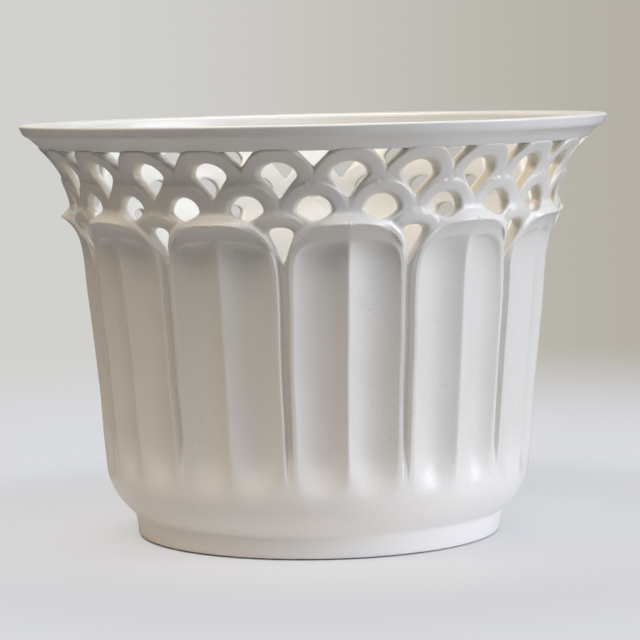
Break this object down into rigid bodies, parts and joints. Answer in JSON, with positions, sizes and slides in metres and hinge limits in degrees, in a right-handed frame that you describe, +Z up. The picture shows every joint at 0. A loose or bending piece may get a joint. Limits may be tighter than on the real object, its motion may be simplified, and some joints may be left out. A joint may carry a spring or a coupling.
{
  "type": "flower pot",
  "caption": "Round flower pot with fluted petals, a pierced gallery of overlapping scales, a flat turned-out rim and a plain ring foot",
  "frame": {"origin": "middle of the foot's underside, on the table", "axes": "+Z up along the pot's axis, -Y through the middle of one petal, +X through the middle of the petal a quarter turn to its right as seen from the front"},
  "size_m": [0.24, 0.24, 0.17],
  "materials": {
    "foot_glaze": "glossy off-white glaze over cream earthenware, slightly worn where it stands",
    "floor_glaze": "glossy off-white glaze",
    "petal_glaze": "glossy warm white glaze with fine crazing, thicker and creamier in the grooves",
    "gallery_glaze": "glossy warm white glaze, pooled cream round the pierced holes",
    "rim_glaze": "glossy warm white glaze"
  },
  "bodies": {
    "root": {"foot_ring": "foot_glaze", "floor_disc": "floor_glaze", "petal_wall": "petal_glaze", "scale_gallery": "gallery_glaze", "rim_flange": "rim_glaze"}
  },
  "joints": []
}
